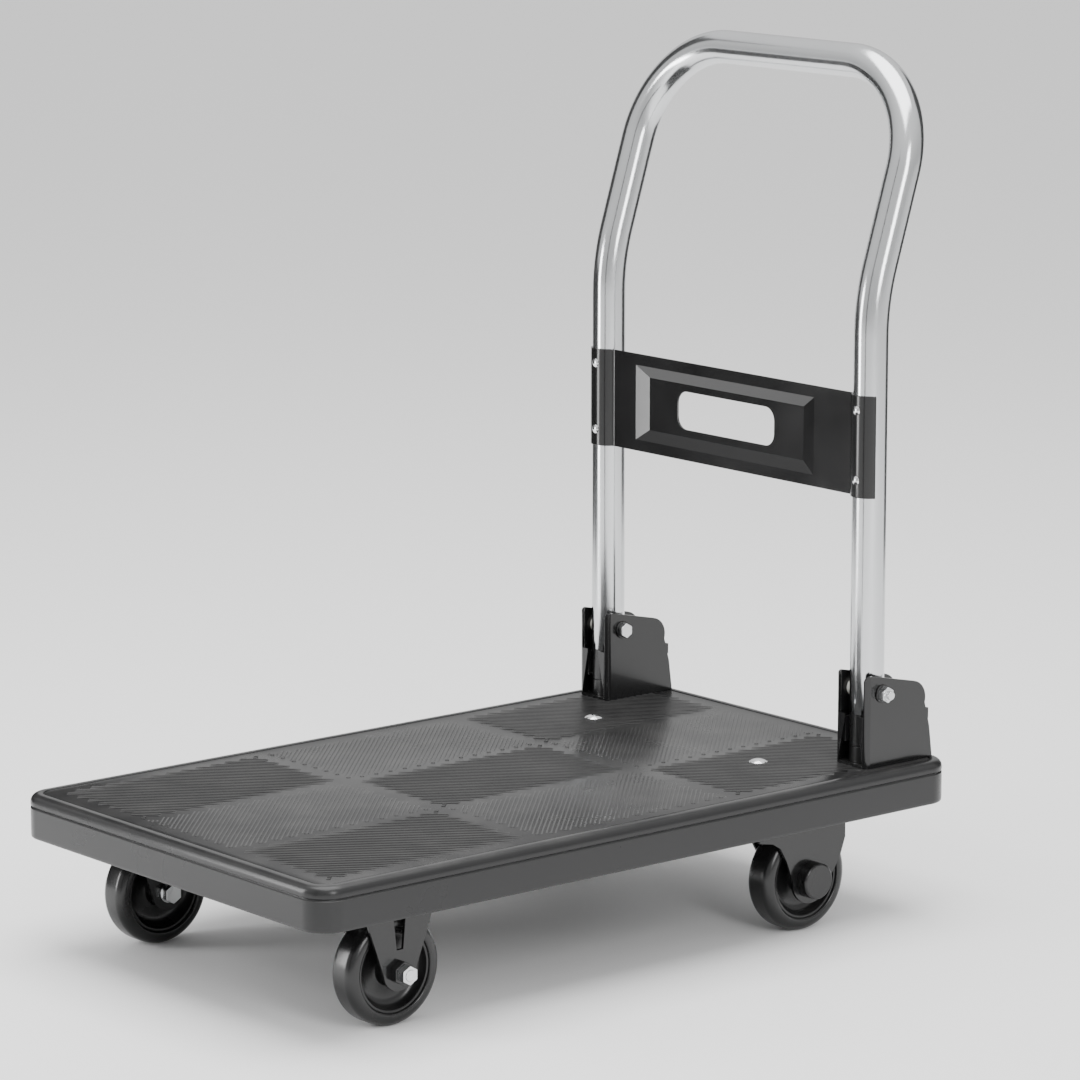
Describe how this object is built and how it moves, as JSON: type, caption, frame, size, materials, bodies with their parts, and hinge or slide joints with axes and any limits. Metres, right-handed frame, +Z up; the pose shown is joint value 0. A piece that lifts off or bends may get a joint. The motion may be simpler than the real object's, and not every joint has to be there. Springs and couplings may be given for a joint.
{
  "type": "folding platform cart",
  "caption": "Low platform cart: moulded deck on two fixed and two swivel casters, with a bent tube push handle and grip panel that folds forward over the deck.",
  "frame": {"origin": "floor level under the middle of the cart's overall box", "axes": "+Z up, +Y towards the handle end, +X to the right seen from the free end"},
  "size_m": [0.45, 0.7502, 0.8052],
  "materials": {
    "deck_plastic": "moulded charcoal polypropylene, fine satin",
    "chrome_tube": "bright chrome plate",
    "tyre": "smooth black polyurethane, semi gloss",
    "black_plastic": "black moulded plastic, semi gloss",
    "nylon": "natural nylon",
    "chrome_fastener": "polished",
    "insert_brass": "turned brass",
    "black_enamel": "gloss black powder coat",
    "zinc_steel": "bright zinc plate"
  },
  "bodies": {
    "frame": {"deck": "deck_plastic", "backing_plate_left": "zinc_steel", "backing_plate_right": "zinc_steel", "deck_bolts": "chrome_fastener", "deck_nuts": "zinc_steel", "caster_inserts": "insert_brass", "caster_bolts": "zinc_steel", "bracket_left": "black_enamel", "bracket_right": "black_enamel", "bracket_bolts": "zinc_steel", "tube_rests": "black_plastic", "pivot_bolts": "zinc_steel", "pivot_nuts": "zinc_steel", "pivot_washers": "black_enamel", "lock_pins": "zinc_steel", "rigid_fork_left": "black_enamel", "rigid_fork_right": "black_enamel", "swivel_plate_left": "zinc_steel", "swivel_plate_right": "zinc_steel", "axles_front": "zinc_steel", "axle_spacers_front": "black_enamel", "axle_nuts_front": "zinc_steel"},
    "handle": {"handle_tube": "chrome_tube", "tube_foot_left": "black_plastic", "tube_foot_right": "black_plastic", "handle_panel": "black_enamel", "panel_rivets": "chrome_fastener", "pivot_spacers": "nylon"},
    "lock_left": {"lock_lever_left": "black_enamel", "lock_spring_left": "zinc_steel"},
    "lock_right": {"lock_lever_right": "black_enamel", "lock_spring_right": "zinc_steel"},
    "swivel_left": {"swivel_fork_left": "black_enamel", "swivel_balls_left": "zinc_steel", "kingpin_left": "zinc_steel", "axle_rear_left": "zinc_steel", "axle_nut_rear_left": "zinc_steel", "hub_caps_left": "black_plastic"},
    "swivel_right": {"swivel_fork_right": "black_enamel", "swivel_balls_right": "zinc_steel", "kingpin_right": "zinc_steel", "axle_rear_right": "zinc_steel", "axle_nut_rear_right": "zinc_steel", "hub_caps_right": "black_plastic"},
    "wheel_front_left": {"tyre_front_left": "tyre", "wheel_core_front_left": "black_plastic", "wheel_bush_front_left": "zinc_steel"},
    "wheel_front_right": {"tyre_front_right": "tyre", "wheel_core_front_right": "black_plastic", "wheel_bush_front_right": "zinc_steel"},
    "wheel_rear_left": {"tyre_rear_left": "tyre", "wheel_core_rear_left": "black_plastic", "wheel_bush_rear_left": "zinc_steel"},
    "wheel_rear_right": {"tyre_rear_right": "tyre", "wheel_core_rear_right": "black_plastic", "wheel_bush_rear_right": "zinc_steel"}
  },
  "joints": [
    {"name": "handle_fold", "type": "hinge", "parent": "frame", "child": "handle", "pos_m": [0, 0.29301, 0.217], "axis": [1, 0, 0], "range_deg": [0, 98]},
    {"name": "lock_left_press", "type": "hinge", "parent": "frame", "child": "lock_left", "pos_m": [-0.184, 0.34001, 0.16], "axis": [1, 0, 0], "range_deg": [0, 8], "stiffness_Nm_per_rad": 0.6, "springref_deg": -20.05},
    {"name": "swivel_left_turn", "type": "hinge", "parent": "frame", "child": "swivel_left", "pos_m": [-0.171, 0.25501, 0.128], "axis": [0, 0, 1], "continuous": true},
    {"name": "lock_right_press", "type": "hinge", "parent": "frame", "child": "lock_right", "pos_m": [0.184, 0.34001, 0.16], "axis": [1, 0, 0], "range_deg": [0, 8], "stiffness_Nm_per_rad": 0.6, "springref_deg": -20.05},
    {"name": "swivel_right_turn", "type": "hinge", "parent": "frame", "child": "swivel_right", "pos_m": [0.171, 0.25501, 0.128], "axis": [0, 0, 1], "continuous": true},
    {"name": "wheel_front_left_spin", "type": "hinge", "parent": "frame", "child": "wheel_front_left", "pos_m": [-0.171, -0.26399, 0.05], "axis": [1, 0, 0], "continuous": true},
    {"name": "wheel_front_right_spin", "type": "hinge", "parent": "frame", "child": "wheel_front_right", "pos_m": [0.171, -0.26399, 0.05], "axis": [1, 0, 0], "continuous": true},
    {"name": "wheel_rear_left_spin", "type": "hinge", "parent": "swivel_left", "child": "wheel_rear_left", "pos_m": [-0.171, 0.21801, 0.05], "axis": [1, 0, 0], "continuous": true},
    {"name": "wheel_rear_right_spin", "type": "hinge", "parent": "swivel_right", "child": "wheel_rear_right", "pos_m": [0.171, 0.21801, 0.05], "axis": [1, 0, 0], "continuous": true}
  ]
}
